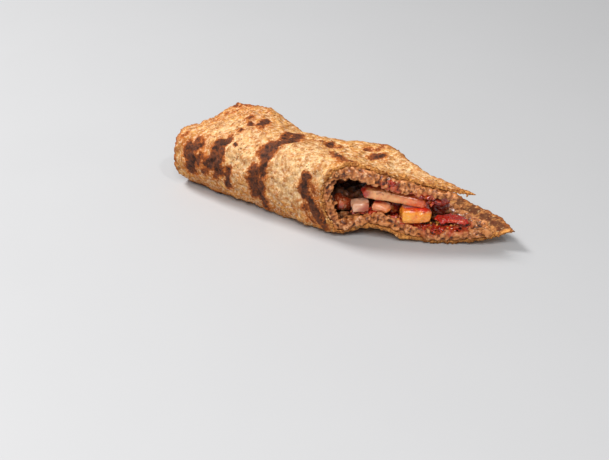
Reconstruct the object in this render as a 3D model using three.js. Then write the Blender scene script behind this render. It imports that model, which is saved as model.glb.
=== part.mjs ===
// A flatbread sandwich: one half of a thin round flatbread that was spread with spiced minced meat,
// folded over tomato and onion, baked on a griddle and cut in two on a slant.
// Millimetres, +Z up. It lies on z = 0, the cut faces -Y, and the fold runs along its left side.

import * as THREE from 'three';
import { mergeVertices } from 'three/addons/utils/BufferGeometryUtils.js';

// Driving dimensions

const BREAD = 3.2; // thickness of the flatbread
const MEAT = 3.8; // thickness of the spread of meat
const GAP = 0.55; // between the meat and the flatbread that it's spread on
const ROLL_HEADING = 142.2; // degrees from +X, from the cut's heel to the back end
const REST_SNAP = 0.35; // what is lower than this is pressed flat by its own weight

// The fold, cut across at several places. Each section is a C: a top sheet, the fold, and a wider
// bottom sheet. Lengths across the roll count from the fold's heel, heights from the rest plane.
//   at          along the roll, from the cut          turn      heading of the section, in degrees
//   crest       height of the top sheet at the fold   crestAt   how far in that height is reached
//   tip         reach of the top sheet                tipHeight its height there
//   dip         how far it hangs between the two      bulge     how far the fold swells outwards
//   belly       height of the swell, of the crest     heel      where the fold meets the bottom sheet
//   lift        how far the heel stands off           arch      hump in the bottom sheet
//   archAt      where the hump is                     sagAt     where the sheet lies down again
//   rim         reach of the bottom sheet             curl      how far its rim turns up
const SECTIONS = [
  {
    at: 0, turn: -8, crest: 38, crestAt: 10, tip: 69.5, tipHeight: 25.3, dip: 0.8, bulge: 4,
    belly: 0.62, heel: 3.5, lift: 2.6, arch: 7.4, archAt: 19, sagAt: 53, rim: 88.5, curl: 8.8,
  },
  {
    at: 15, turn: 4, crest: 37, crestAt: 11, tip: 57.5, tipHeight: 27, dip: 2, bulge: 4,
    belly: 0.61, heel: 4, lift: 1, arch: 3.5, archAt: 19, sagAt: 47, rim: 87, curl: 8,
  },
  {
    at: 33, turn: 17, crest: 35.5, crestAt: 12, tip: 58, tipHeight: 29.4, dip: 2.6, bulge: 4,
    belly: 0.6, heel: 4.5, lift: 0.4, arch: 2, archAt: 19, sagAt: 42, rim: 78, curl: 8,
  },
  {
    at: 54, turn: 34, crest: 34, crestAt: 12, tip: 39.5, tipHeight: 26, dip: -2, bulge: 4,
    belly: 0.58, heel: 4.5, lift: 0.2, arch: 1, archAt: 18, sagAt: 38, rim: 62, curl: 6,
  },
  {
    at: 76, turn: 44, crest: 32.5, crestAt: 11, tip: 42, tipHeight: 31.5, dip: -1, bulge: 4,
    belly: 0.57, heel: 4, lift: 0.2, arch: 1, archAt: 17, sagAt: 34, rim: 54, curl: 5,
  },
  {
    at: 102, turn: 46, crest: 26.3, crestAt: 8, tip: 42, tipHeight: 29.6, dip: 3.2, bulge: 2.2,
    belly: 0.7, heel: 4, lift: 1, arch: 1, archAt: 15, sagAt: 30, rim: 47, curl: 4,
  },
];

// How many faces the two sheets have: round the fold and along the roll
const AROUND = 36;
const ALONG = 24;

// The meat stops short of the rims by this many faces, and thins out towards them over these
// shares of the sheet, down to a share of its thickness
const MEAT_INSET = { top: 2, bottom: 2, back: 1 };
const MEAT_THINNING = { top: 0.16, bottom: 0.12, back: 0.08, least: 0.3 };
const BARE_TOP = 0.03; // the share of the sheet at the top rim where the meat is at its thinnest

// How ragged the edges are, as shares of the sheet
const RAGGED = { topRim: 0.008, bottomRim: 0.01, knife: 0.004, backEnd: 0.02 };

// Looks

const COLOURS = {
  bread: new THREE.MeshStandardMaterial({ color: 0xd9b285, roughness: 0.85, metalness: 0 }),
  meat: new THREE.MeshStandardMaterial({ color: 0x9b5a38, roughness: 0.55, metalness: 0 }),
  tomato: new THREE.MeshStandardMaterial({ color: 0xd9512c, roughness: 0.3, metalness: 0 }),
  onion: new THREE.MeshStandardMaterial({ color: 0xe3c4b0, roughness: 0.35, metalness: 0 }),
};

// Small helpers

const radians = THREE.MathUtils.degToRad;

function heading(degrees) {
  return new THREE.Vector3(Math.cos(radians(degrees)), Math.sin(radians(degrees)), 0);
}

// A smooth curve through points
function through(points) {
  return new THREE.CatmullRomCurve3(points, false, 'catmullrom', 0.5);
}

// A slow unevenness between -1 and 1, from three waves that never line up
function waves(x, y, phase) {
  const long = Math.sin(1.9 * x + 1.3 * y + phase);
  const cross = Math.sin(2.7 * y - 1.1 * x + 2.3 * phase);
  const short = Math.sin(4.3 * x + 3.1 * y - 1.7 * phase);
  return (long + cross + short) / 3;
}

// Random numbers between -1 and 1, the same ones each time for one seed
function draws(seed) {
  return () => 2 * THREE.MathUtils.seededRandom((seed += 1) * 7919) - 1;
}

// The fold

// One section's line, where meat and bread meet, from the top sheet's rim to the bottom sheet's
function sectionLine(cut) {
  const points = [1, 0.75, 0.5, 0.25, 0].map((part) => [
    cut.crestAt + (cut.tip - cut.crestAt) * part,
    cut.crest + (cut.tipHeight - cut.crest) * part - cut.dip * Math.sin(Math.PI * part),
  ]);
  const belly = cut.crest * cut.belly;
  points.push([-0.1 * cut.bulge, 0.59 * cut.crest + 0.5 * belly]);
  points.push([-cut.bulge, belly]);
  points.push([-0.55 * cut.bulge, 0.55 * belly + 0.45 * BREAD]);
  points.push([cut.heel, BREAD + cut.lift]);
  points.push([cut.archAt, BREAD + cut.arch]);
  points.push([(cut.archAt + cut.sagAt) / 2, BREAD + 0.36 * cut.arch]);
  points.push([cut.sagAt, BREAD]);
  points.push([(cut.sagAt + cut.rim) / 2, BREAD + 0.33 * cut.curl]);
  points.push([cut.rim, BREAD + cut.curl]);
  const start = heading(ROLL_HEADING).multiplyScalar(cut.at);
  return through(points.map(([across, height]) => {
    const point = heading(cut.turn).multiplyScalar(across).add(start);
    return point.setZ(height);
  }));
}

const sectionLines = SECTIONS.map(sectionLine);

// A place on the sheet: around = 0 at the top rim, 1 at the bottom one; along = 0 at the cut
function sheetPoint(around, along) {
  const at = along * SECTIONS.at(-1).at;
  let last = SECTIONS.findIndex((cut) => cut.at >= at);
  last = Math.max(last, 1);
  const before = SECTIONS[last - 1].at;
  const share = (at - before) / (SECTIONS[last].at - before);
  const roll = through(sectionLines.map((line) => line.getPointAt(around)));
  return roll.getPoint((last - 1 + share) / (SECTIONS.length - 1));
}

// The way out of the roll at that place
const NEAR = 0.004; // how far off, as a share of the sheet, the slope is measured

function sheetNormal(around, along) {
  const here = THREE.MathUtils.clamp(around, NEAR, 1 - NEAR);
  const there = THREE.MathUtils.clamp(along, NEAR, 1 - NEAR);
  const round = sheetPoint(here - NEAR, there).sub(sheetPoint(here + NEAR, there));
  const length = sheetPoint(here, there + NEAR).sub(sheetPoint(here, there - NEAR));
  return round.cross(length).normalize();
}

// A slab bent into the roll: its inner and outer faces stand off the line by what the two
// functions give. The ragged edges are drawn in by up to a few millimetres.
function bentSlab({ from, to, end, inner, outer }) {
  const faces = new THREE.BoxGeometry(1, 1, 1, to - from, end, 1);
  faces.deleteAttribute('normal');
  faces.deleteAttribute('uv');
  const slab = mergeVertices(faces);
  const corners = slab.attributes.position;
  for (let i = 0; i < corners.count; i += 1) {
    const column = from + (0.5 - corners.getX(i)) * (to - from);
    const row = (0.5 + corners.getY(i)) * end;
    const place = raggedPlace(column / AROUND, row / ALONG);
    const normal = sheetNormal(...place);
    const off = corners.getZ(i) > 0 ? outer(...place) : inner(...place);
    const point = sheetPoint(...place).addScaledVector(normal, off);
    if (point.z < REST_SNAP) point.z = 0;
    corners.setXYZ(i, point.x, point.y, point.z);
  }
  return slab;
}

// The sheet's rims and its two ends aren't straight
function raggedPlace(around, along) {
  const topRim = RAGGED.topRim * (1 + waves(9 * along, 2, 1));
  const bottomRim = RAGGED.bottomRim * (1 + waves(8 * along, 5, 4));
  const knife = RAGGED.knife * (1 + waves(11 * around, 1, 2));
  const backEnd = RAGGED.backEnd * (1 + waves(7 * around, 3, 5));
  return [
    THREE.MathUtils.lerp(topRim, 1 - bottomRim, around),
    THREE.MathUtils.lerp(knife, 1 - backEnd, along),
  ];
}

// Parts

const group = new THREE.Group();

function addMesh(name, shape, material) {
  const mesh = new THREE.Mesh(shape, material);
  mesh.name = name;
  group.add(mesh);
  return mesh;
}

// The flatbread, with the low blisters of its baked side
const BLISTER = 0.45; // height of the blisters

addMesh('flatbread', bentSlab({
  from: 0,
  to: AROUND,
  end: ALONG,
  inner: () => 0,
  outer: (around, along) => BREAD + BLISTER * waves(31 * around, 23 * along, 3),
}), COLOURS.bread);

// The meat, a crumbly spread that thins out towards the top sheet's tip and the rims
const MEAT_CRAGS = 0.9; // how far lumps stand out of it

const crag = draws(18);

addMesh('meat_layer', bentSlab({
  from: MEAT_INSET.top,
  to: AROUND - MEAT_INSET.bottom,
  end: ALONG - MEAT_INSET.back,
  inner: (around, along) => {
    const { top, bottom, back, least } = MEAT_THINNING;
    const rim = Math.min(1, (around - BARE_TOP) / top, (1 - around) / bottom, (1 - along) / back);
    const lumps = MEAT_CRAGS * (0.6 * crag() + 0.8 * waves(37 * around, 26 * along, 7));
    return -GAP - (MEAT + lumps) * (least + (1 - least) * Math.max(rim, 0));
  },
  outer: () => -GAP,
}), COLOURS.meat);

// A cut piece of tomato or onion: a block with softened edges, thinner at one end where it tapers,
// and bowed like the wall or layer that it was cut from
const FACE_SIZE = 2.6; // about how large its faces are
const UNEVEN = 0.25; // how far its corners are off, and less so through its thickness
const UNEVEN_THROUGH = 0.15;

function cutPiece({ size, soft = 5, taper = 0, bow = 0, seed }) {
  const [length, width, thickness] = size;
  const segments = size.map((side) => THREE.MathUtils.clamp(Math.round(side / FACE_SIZE), 2, 7));
  const block = new THREE.BoxGeometry(2, 2, 2, ...segments);
  block.deleteAttribute('normal');
  block.deleteAttribute('uv');
  const piece = mergeVertices(block);
  const corners = piece.attributes.position;
  const nudge = draws(seed);
  for (let i = 0; i < corners.count; i += 1) {
    const point = new THREE.Vector3().fromBufferAttribute(corners, i);
    const sum = point.toArray().reduce((total, value) => total + Math.abs(value) ** soft, 0);
    point.divideScalar(sum ** (1 / soft));
    const narrow = 1 - taper * (0.5 + 0.5 * point.x);
    const rise = bow * (1 - point.x ** 2);
    point.set(
      0.5 * length * point.x + UNEVEN * nudge(),
      0.5 * width * narrow * point.y + UNEVEN * nudge(),
      0.5 * thickness * narrow * point.z + rise + UNEVEN_THROUGH * nudge(),
    );
    corners.setXYZ(i, ...point);
  }
  return piece;
}

// Where the pieces lie: along the roll from the cut, across it from the fold's heel, and the height
// of the middle. spin turns a piece from the section's line, lean lifts its far end, tip its back.
const FILLING = [
  {
    name: 'tomato_strip', kind: 'tomato', size: [34, 8.5, 5.2], soft: 7, bow: 0.5,
    at: 6.2, across: 34.6, height: 22.3, spin: -8, lean: -6, tip: 3,
  },
  {
    name: 'tomato_chunk', kind: 'tomato', size: [15.2, 10.5, 7.8], soft: 5, taper: 0.1,
    at: 3.8, across: 42.6, height: 14.3, spin: 8, lean: 1, tip: -4,
  },
  {
    name: 'tomato_middle', kind: 'tomato', size: [9.6, 8, 4.6], soft: 4, taper: 0.2,
    at: 7, across: 28.8, height: 15.9, spin: -20, lean: -8, tip: 4,
  },
  {
    name: 'tomato_left', kind: 'tomato', size: [9, 11, 7], soft: 3.5, taper: 0.15,
    at: 14, across: 15.4, height: 15.3, spin: 15, lean: -12, tip: 8,
  },
  {
    name: 'tomato_pulp', kind: 'tomato', size: [8, 8, 6.5], soft: 3, taper: 0.1,
    at: 13.5, across: 39.5, height: 12.5, spin: 30, lean: 6, tip: 0,
  },
  {
    name: 'tomato_hanging', kind: 'tomato', size: [9, 10, 6], soft: 3, taper: 0.2,
    at: 6, across: 56.6, height: 21.8, spin: 20, lean: -14, tip: 6,
  },
  {
    name: 'tomato_lower', kind: 'tomato', size: [8, 7, 8], soft: 3.2, taper: 0.15,
    at: 11, across: 60.8, height: 13.6, spin: -30, lean: 8, tip: 0,
  },
  {
    name: 'tomato_skin', kind: 'tomato', size: [16, 6.5, 2.2], soft: 4, bow: 0.6,
    at: 4, across: 60.4, height: 11.3, spin: -4, lean: 0, tip: 6,
  },
  {
    name: 'onion_cube', kind: 'onion', size: [9, 7.5, 5.2], soft: 6,
    at: 5, across: 16.6, height: 17.1, spin: 8, lean: 2, tip: -4,
  },
  {
    name: 'onion_back', kind: 'onion', size: [12, 10, 4.2], soft: 5, bow: 0.8,
    at: 16.5, across: 56, height: 13.4, spin: 10, lean: 8, tip: 52,
  },
  {
    name: 'tomato_deep_1', kind: 'tomato', size: [15, 11, 7], soft: 4.5, taper: 0.15,
    at: 28, across: 24, height: 14.4, spin: 70, lean: 2, tip: 4,
  },
  {
    name: 'tomato_deep_2', kind: 'tomato', size: [13, 10, 7.5], soft: 4, taper: 0.15,
    at: 33, across: 43, height: 11.9, spin: 20, lean: 5, tip: -5,
  },
  {
    name: 'tomato_deep_3', kind: 'tomato', size: [20, 8, 5], soft: 6, bow: 0.6,
    at: 33, across: 34, height: 20.9, spin: 38, lean: 4, tip: 6,
  },
  {
    name: 'tomato_deep_4', kind: 'tomato', size: [12, 11, 8.5], soft: 4, taper: 0.1,
    at: 48, across: 26, height: 13.5, spin: -20, lean: 3, tip: 6,
  },
  {
    name: 'tomato_deep_5', kind: 'tomato', size: [14, 8, 6], soft: 4.5, taper: 0.2,
    at: 57, across: 37, height: 11.7, spin: 65, lean: -4, tip: 8,
  },
  {
    name: 'tomato_deep_6', kind: 'tomato', size: [13, 10, 8], soft: 4, taper: 0.15,
    at: 72, across: 22, height: 13.3, spin: 20, lean: 5, tip: -8,
  },
  {
    name: 'tomato_deep_7', kind: 'tomato', size: [11, 9, 7], soft: 4, taper: 0.2,
    at: 86, across: 25, height: 12.4, spin: -35, lean: 4, tip: 5,
  },
  {
    name: 'onion_deep_1', kind: 'onion', size: [11, 9, 5], soft: 6,
    at: 37, across: 16, height: 12.4, spin: 30, lean: 6, tip: 4,
  },
  {
    name: 'onion_deep_2', kind: 'onion', size: [14, 7, 4], soft: 5, bow: 0.9,
    at: 42, across: 52, height: 12.1, spin: 40, lean: 10, tip: 12,
  },
  {
    name: 'onion_deep_3', kind: 'onion', size: [13, 8, 4], soft: 5, bow: 0.8,
    at: 60, across: 20, height: 11.5, spin: -40, lean: 14, tip: 10,
  },
  {
    name: 'onion_deep_4', kind: 'onion', size: [9, 8, 5], soft: 6,
    at: 77.6, across: 36, height: 11.6, spin: 15, lean: 6, tip: -5,
  },
  {
    name: 'onion_deep_5', kind: 'onion', size: [8, 7, 5], soft: 6,
    at: 90, across: 14, height: 11.7, spin: 50, lean: 4, tip: 5,
  },
  {
    name: 'tomato_deep_8', kind: 'tomato', size: [13, 9, 7], soft: 4, taper: 0.15,
    at: 22, across: 51, height: 11.9, spin: 80, lean: 4, tip: -5,
  },
  {
    name: 'tomato_deep_9', kind: 'tomato', size: [14, 10, 8], soft: 4.5, taper: 0.1,
    at: 43, across: 38, height: 12.8, spin: 35, lean: 3, tip: 8,
  },
  {
    name: 'tomato_deep_10', kind: 'tomato', size: [15, 10, 8], soft: 4, taper: 0.2,
    at: 68, across: 34, height: 12.4, spin: 55, lean: 3, tip: -6,
  },
  {
    name: 'tomato_deep_11', kind: 'tomato', size: [19, 8, 4.6], soft: 6, bow: 0.6,
    at: 50, across: 31, height: 19.6, spin: 20, lean: -4, tip: 4,
  },
  {
    name: 'tomato_deep_12', kind: 'tomato', size: [12, 10, 8], soft: 4, taper: 0.15,
    at: 79, across: 11, height: 12.7, spin: -10, lean: 5, tip: 6,
  },
  {
    name: 'onion_deep_6', kind: 'onion', size: [11, 8, 4.2], soft: 5, bow: 0.6,
    at: 55, across: 49, height: 11.5, spin: -20, lean: 6, tip: 8,
  },
  {
    name: 'onion_deep_7', kind: 'onion', size: [15, 7, 4], soft: 5, bow: 0.8,
    at: 71, across: 27, height: 19.3, spin: 65, lean: 5, tip: -8,
  },
];

// The section's heading at a place along the roll
function turnAt(at) {
  const next = Math.max(SECTIONS.findIndex((cut) => cut.at >= at), 1);
  const [before, after] = [SECTIONS[next - 1], SECTIONS[next]];
  return THREE.MathUtils.mapLinear(at, before.at, after.at, before.turn, after.turn);
}

FILLING.forEach((piece, index) => {
  const shape = cutPiece({ ...piece, seed: 40 * (index + 1) });
  const mesh = addMesh(piece.name, shape, COLOURS[piece.kind]);
  const turn = turnAt(piece.at);
  mesh.rotation.order = 'ZYX';
  mesh.rotation.set(radians(piece.tip), radians(-piece.lean), radians(piece.spin + turn));
  mesh.position.copy(heading(ROLL_HEADING).multiplyScalar(piece.at));
  mesh.position.addScaledVector(heading(turn), piece.across);
  mesh.position.z = piece.height;
});

// The origin is under the middle of the whole sandwich
const whole = new THREE.Box3().setFromObject(group);
const middle = whole.getCenter(new THREE.Vector3());
group.position.set(-middle.x, -middle.y, -whole.min.z);

export default group;
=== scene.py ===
"""Half of a flatbread sandwich: a thin griddled flatbread folded over spiced minced meat, tomato
and onion, and cut in two on a slant. Sizes are in millimetres and become metres in the meshes."""

import random
from math import radians

import bmesh
import bpy
import numpy as np
from mathutils import Matrix, Vector, noise


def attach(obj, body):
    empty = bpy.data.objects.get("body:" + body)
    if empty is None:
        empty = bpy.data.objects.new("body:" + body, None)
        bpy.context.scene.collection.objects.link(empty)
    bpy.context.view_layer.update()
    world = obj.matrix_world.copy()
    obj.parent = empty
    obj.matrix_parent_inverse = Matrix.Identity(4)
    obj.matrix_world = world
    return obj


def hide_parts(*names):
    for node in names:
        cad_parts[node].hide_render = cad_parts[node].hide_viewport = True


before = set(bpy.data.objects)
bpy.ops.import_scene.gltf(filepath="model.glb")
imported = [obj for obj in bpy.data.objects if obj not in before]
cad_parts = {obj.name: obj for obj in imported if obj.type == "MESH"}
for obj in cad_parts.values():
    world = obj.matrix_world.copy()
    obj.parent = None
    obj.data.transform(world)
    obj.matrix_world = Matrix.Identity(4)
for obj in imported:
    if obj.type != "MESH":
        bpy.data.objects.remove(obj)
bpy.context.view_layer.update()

# The view, in metres. A lens of about 96 mm looks down on the cut face at 28.5 degrees, from 80 cm away.
# The room is white, with a soft lamp above and behind on the left, a wide one above in front, and
# a small one that makes the glints on what is wet.
MM = 0.001
LOOK_DOWN = 28.5

lens = bpy.data.cameras.new("camera")
lens.sensor_width = 36
lens.lens = 96.47
camera = bpy.data.objects.new("camera", lens)
camera.location = (-0.01673, -0.74435, 0.38555)
camera.rotation_euler = (radians(90 - LOOK_DOWN), 0, 0)
bpy.context.scene.collection.objects.link(camera)
bpy.context.scene.camera = camera
bpy.context.scene.view_settings.view_transform = "Standard"
bpy.context.scene.view_settings.look = "None"


def add_lamp(name, place, size, power, aim=(0, 0, 0.01)):
    """A square soft lamp in metres and watts, turned to shine at `aim`."""
    light = bpy.data.lights.new(name, "AREA")
    light.size = size
    light.energy = power
    lamp = bpy.data.objects.new(name, light)
    lamp.location = place
    lamp.rotation_euler = (Vector(aim) - Vector(place)).to_track_quat("-Z", "Y").to_euler()
    bpy.context.scene.collection.objects.link(lamp)


add_lamp("window", (-0.6, 0.3, 0.85), 0.3, 9.8)
add_lamp("fill", (-0.15, -0.85, 0.9), 0.5, 8.6)
add_lamp("glint", (0.25, -0.6, 0.8), 0.04, 1.6)

room = bpy.data.worlds.new("room")
room.use_nodes = True
room.node_tree.nodes["Background"].inputs["Color"].default_value = (1, 1, 1, 1)
room.node_tree.nodes["Background"].inputs["Strength"].default_value = 0.24
bpy.context.scene.world = room


# The floor, a plain pale tabletop with a faint unevenness in its gloss.
FLOOR_SIDE = 6000
FLOOR_TONE = "bfbfc0"


class Channel:
    """One value or colour in a material. Sums with it add the material's Math nodes."""

    def __init__(self, tree, socket=None):
        self.tree = tree
        self.socket = socket

    def node(self, kind, settings=None, inputs=None, out=0):
        """A node of that kind: its settings first, then the values or links of its sockets."""
        made = self.tree.nodes.new("ShaderNode" + kind)
        for name, setting in (settings or {}).items():
            setattr(made, name, setting)
        for name, value in (inputs or {}).items():
            if isinstance(value, Channel):
                self.tree.links.new(value.socket, made.inputs[name])
            else:
                made.inputs[name].default_value = value
        return Channel(self.tree, made.outputs[out])

    def math(self, operation, *terms):
        """A sum, difference or product of channels and numbers."""
        return self.node("Math", {"operation": operation}, dict(enumerate(terms)))

    def __add__(self, other):
        return self.math("ADD", self, other)

    def __radd__(self, other):
        return self.math("ADD", other, self)

    def __sub__(self, other):
        return self.math("SUBTRACT", self, other)

    def __rsub__(self, other):
        return self.math("SUBTRACT", other, self)

    def __mul__(self, other):
        return self.math("MULTIPLY", self, other)

    def __rmul__(self, other):
        return self.math("MULTIPLY", other, self)

    def between(self, low, high):
        """0 at `low`, 1 at `high`, smooth between them and level beyond. `low` may be the larger."""
        limits = {"Value": self, "From Min": low, "From Max": high}
        return self.node("MapRange", {"interpolation_type": "SMOOTHSTEP"}, limits)

    def blend(self, without, full):
        """The colour `without` where this value is 0, and `full` where it is 1."""
        return self.node("Mix", {"data_type": "RGBA"}, {0: self, 6: without, 7: full}, 2)

    def grain(self, size, detail=3, rough=0.55, seed=0):
        """Cloudy noise from 0 to 1 whose patches are about `size` millimetres across."""
        place = self.node("TexCoord", out="Object")
        scaled = self.node("VectorMath", {"operation": "SCALE"}, {0: place, "Scale": 1 / MM / size})
        moved = self.node("VectorMath", {"operation": "ADD"}, {0: scaled, 1: (seed, 2.7 * seed, -seed)})
        kept = {"Vector": moved, "Scale": 1.0, "Detail": detail, "Roughness": rough}
        return self.node("TexNoise", None, kept)

    def attribute(self, name, out="Fac"):
        """What a mesh stores at its corners under that name."""
        return self.node("Attribute", {"attribute_name": name}, out=out)


def tone(code):
    """A colour written as six hexadecimal digits, as Blender's linear colour."""
    parts = np.array([int(code[i : i + 2], 16) / 255 for i in (0, 2, 4)])
    return (*np.where(parts <= 0.04045, parts / 12.92, ((parts + 0.055) / 1.055) ** 2.4), 1)


def new_finish(name, **sockets):
    """A material with those uniform values, and the start of its node sums."""
    finish = bpy.data.materials.new(name)
    finish.use_nodes = True
    shader = finish.node_tree.nodes["Principled BSDF"]
    for socket, value in sockets.items():
        shader.inputs[socket.replace("_", " ")].default_value = value
    return finish, Channel(finish.node_tree)


def feed(finish, **channels):
    """Links what varies over the surface to the material's shader."""
    shader = finish.node_tree.nodes["Principled BSDF"]
    for socket, channel in channels.items():
        finish.node_tree.links.new(channel.socket, shader.inputs[socket.replace("_", " ")])


floor_finish, sums = new_finish("floor_finish", Base_Color=tone(FLOOR_TONE))
feed(floor_finish, Roughness=0.45 + 0.15 * sums.grain(60))

sheet_mesh = bmesh.new()
bmesh.ops.create_grid(sheet_mesh, x_segments=2, y_segments=2, size=FLOOR_SIDE / 2 * MM)
floor_mesh = bpy.data.meshes.new("floor")
sheet_mesh.to_mesh(floor_mesh)
sheet_mesh.free()
floor_mesh.materials.append(floor_finish)
floor = bpy.data.objects.new("floor", floor_mesh)
bpy.context.scene.collection.objects.link(floor)


# The flatbread, one thin sheet of baked dough folded into a C that lies on its side: a top sheet,
# the fold, and a wider bottom sheet. The griddle left it mottled, blistered and charred in places,
# and the cut and the rims show a golden, crumbly edge.
BREAD = 3.2  # how thick the sheet is
SPREAD_IN = 0.8  # how far the meat is pressed into the bread, and how much further at the cut
SPREAD_IN_AT_CUT = 0.6
ROLL_HEADING = 142.2
MIDDLE = (2.27, 42.24, 0)  # of the whole sandwich, from the fold's own start
REST_SNAP = 0.35  # what lies lower than this is laid on the table
SECTIONS = [
    dict(at=0, turn=-8, crest=38, crest_at=10, tip=69.5, tip_height=25.3, dip=0.8, bulge=4,
         belly=0.62, heel=3.5, lift=2.6, arch=7.4, arch_at=19, sag_at=53, rim=88.5, curl=8.8),
    dict(at=15, turn=4, crest=37, crest_at=11, tip=57.5, tip_height=27, dip=2, bulge=4,
         belly=0.61, heel=4, lift=1, arch=3.5, arch_at=19, sag_at=47, rim=87, curl=8),
    dict(at=33, turn=17, crest=35.5, crest_at=12, tip=58, tip_height=29.4, dip=2.6, bulge=4,
         belly=0.6, heel=4.5, lift=0.4, arch=2, arch_at=19, sag_at=42, rim=78, curl=8),
    dict(at=54, turn=34, crest=34, crest_at=12, tip=39.5, tip_height=26, dip=-2, bulge=4,
         belly=0.58, heel=4.5, lift=0.2, arch=1, arch_at=18, sag_at=38, rim=62, curl=6),
    dict(at=76, turn=44, crest=32.5, crest_at=11, tip=42, tip_height=31.5, dip=-1, bulge=4,
         belly=0.57, heel=4, lift=0.2, arch=1, arch_at=17, sag_at=34, rim=54, curl=5),
    dict(at=102, turn=46, crest=26.3, crest_at=8, tip=42, tip_height=29.6, dip=3.2, bulge=2.2,
         belly=0.7, heel=4, lift=1, arch=1, arch_at=15, sag_at=30, rim=47, curl=4),
]


def heading(degrees):
    """The level direction at that turn from +X."""
    return np.array([np.cos(radians(degrees)), np.sin(radians(degrees)), 0])


def spline(knots, share):
    """Places at `share` along a smooth curve through the rows of `knots`."""
    spans = len(knots) - 1
    ends = [[2 * knots[0] - knots[1]], knots, [2 * knots[-1] - knots[-2]]]
    padded = np.concatenate(ends)
    place = np.clip(np.asarray(share) * spans, 0, spans - 1e-9)
    span = place.astype(int)
    part = (place - span)[:, None]
    if knots.ndim == 3:
        each = np.arange(knots.shape[1])
        a, b, c, d = (padded[span + step, each] for step in range(4))
    else:
        a, b, c, d = (padded[span + step] for step in range(4))
    cubic = (3 * b - a - 3 * c + d) * part**3
    return 0.5 * (2 * b + (c - a) * part + (2 * a - 5 * b + 4 * c - d) * part**2 + cubic)


def section_knots(cut):
    """One section's line, where meat and bread meet: distance across the roll, and height."""
    parts = np.array([1, 0.75, 0.5, 0.25, 0])
    across = cut["crest_at"] + (cut["tip"] - cut["crest_at"]) * parts
    sag = cut["dip"] * np.sin(np.pi * parts)
    height = cut["crest"] + (cut["tip_height"] - cut["crest"]) * parts - sag
    belly = cut["crest"] * cut["belly"]
    low = [
        (-0.1 * cut["bulge"], 0.59 * cut["crest"] + 0.5 * belly),
        (-cut["bulge"], belly),
        (-0.55 * cut["bulge"], 0.55 * belly + 0.45 * BREAD),
        (cut["heel"], BREAD + cut["lift"]),
        (cut["arch_at"], BREAD + cut["arch"]),
        ((cut["arch_at"] + cut["sag_at"]) / 2, BREAD + 0.36 * cut["arch"]),
        (cut["sag_at"], BREAD),
        ((cut["sag_at"] + cut["rim"]) / 2, BREAD + 0.33 * cut["curl"]),
        (cut["rim"], BREAD + cut["curl"]),
    ]
    return np.concatenate([np.stack([across, height], 1), np.array(low)])


MEASURES = np.linspace(0, 1, 601)
section_lines = []
for cut in SECTIONS:
    knots = section_knots(cut)
    steps = np.linalg.norm(np.diff(spline(knots, MEASURES), axis=0), axis=1)
    section_lines.append((cut, knots, np.concatenate([[0], np.cumsum(steps)])))

ROLL_LENGTH = SECTIONS[-1]["at"]
GIRTHS = [reach[-1] for cut, knots, reach in section_lines]
STATIONS = [cut["at"] / ROLL_LENGTH for cut in SECTIONS]


def sheet_point(around, along):
    """A place on the sheet: around is 0 at the top rim and 1 at the bottom one, along 0 at the cut."""
    rows = []
    for cut, knots, reach in section_lines:
        flat = spline(knots, np.interp(around * reach[-1], reach, MEASURES))
        row = flat[:, :1] * heading(cut["turn"]) + heading(ROLL_HEADING) * cut["at"]
        row[:, 2] = flat[:, 1]
        rows.append(row)
    share = np.interp(along, STATIONS, np.linspace(0, 1, len(SECTIONS)))
    return spline(np.stack(rows), share)


def sheet_normal(around, along):
    """The way out of the roll at that place."""
    step = 0.004
    around = np.clip(around, step, 1 - step)
    along = np.clip(along, step, 1 - step)
    across = sheet_point(around - step, along) - sheet_point(around + step, along)
    length = sheet_point(around, along + step) - sheet_point(around, along - step)
    normal = np.cross(across, length)
    return normal / np.linalg.norm(normal, axis=1, keepdims=True)


def waves(x, y, phase):
    """A slow unevenness between -1 and 1."""
    long = np.sin(1.9 * x + 1.3 * y + phase)
    cross = np.sin(2.7 * y - 1.1 * x + 2.3 * phase)
    short = np.sin(4.3 * x + 3.1 * y - 1.7 * phase)
    return (long + cross + short) / 3


def knife_line(around):
    """The knife didn't cut quite straight."""
    return 0.004 * (1 + waves(11 * around, 1, 2))


def ragged_place(around, along):
    """The sheet's rims and its two ends aren't straight."""
    top_rim = 0.008 * (1 + waves(9 * along, 2, 1))
    bottom_rim = 0.01 * (1 + waves(8 * along, 5, 4))
    back_end = 0.02 * (1 + waves(7 * around, 3, 5))
    knife = knife_line(around)
    return (
        top_rim + (1 - bottom_rim - top_rim) * around,
        knife + (1 - back_end - knife) * along,
    )


def clouds(places, size, seed=0):
    """Noise from about -1 to 1 at each place, with patches about `size` millimetres across."""
    shift = Vector((seed, -2.3 * seed, 1.7 * seed))
    return np.array([noise.noise(Vector(place) / size + shift) for place in places])


def corner_places(mesh):
    """Where a mesh's corners are, in millimetres."""
    places = np.empty(3 * len(mesh.vertices), np.float32)
    mesh.vertices.foreach_get("co", places)
    return places.reshape(-1, 3).astype(float) / MM


def corner_normals(mesh):
    """The way out of a mesh at each corner."""
    normals = np.empty(3 * len(mesh.vertices), np.float32)
    mesh.vertex_normals.foreach_get("vector", normals)
    return normals.reshape(-1, 3).astype(float)


def set_attribute(mesh, name, values):
    """Stores one number for each corner, for the materials to read."""
    mesh.attributes.new(name, "FLOAT", "POINT").data.foreach_set("value", values.astype(np.float32))


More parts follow.
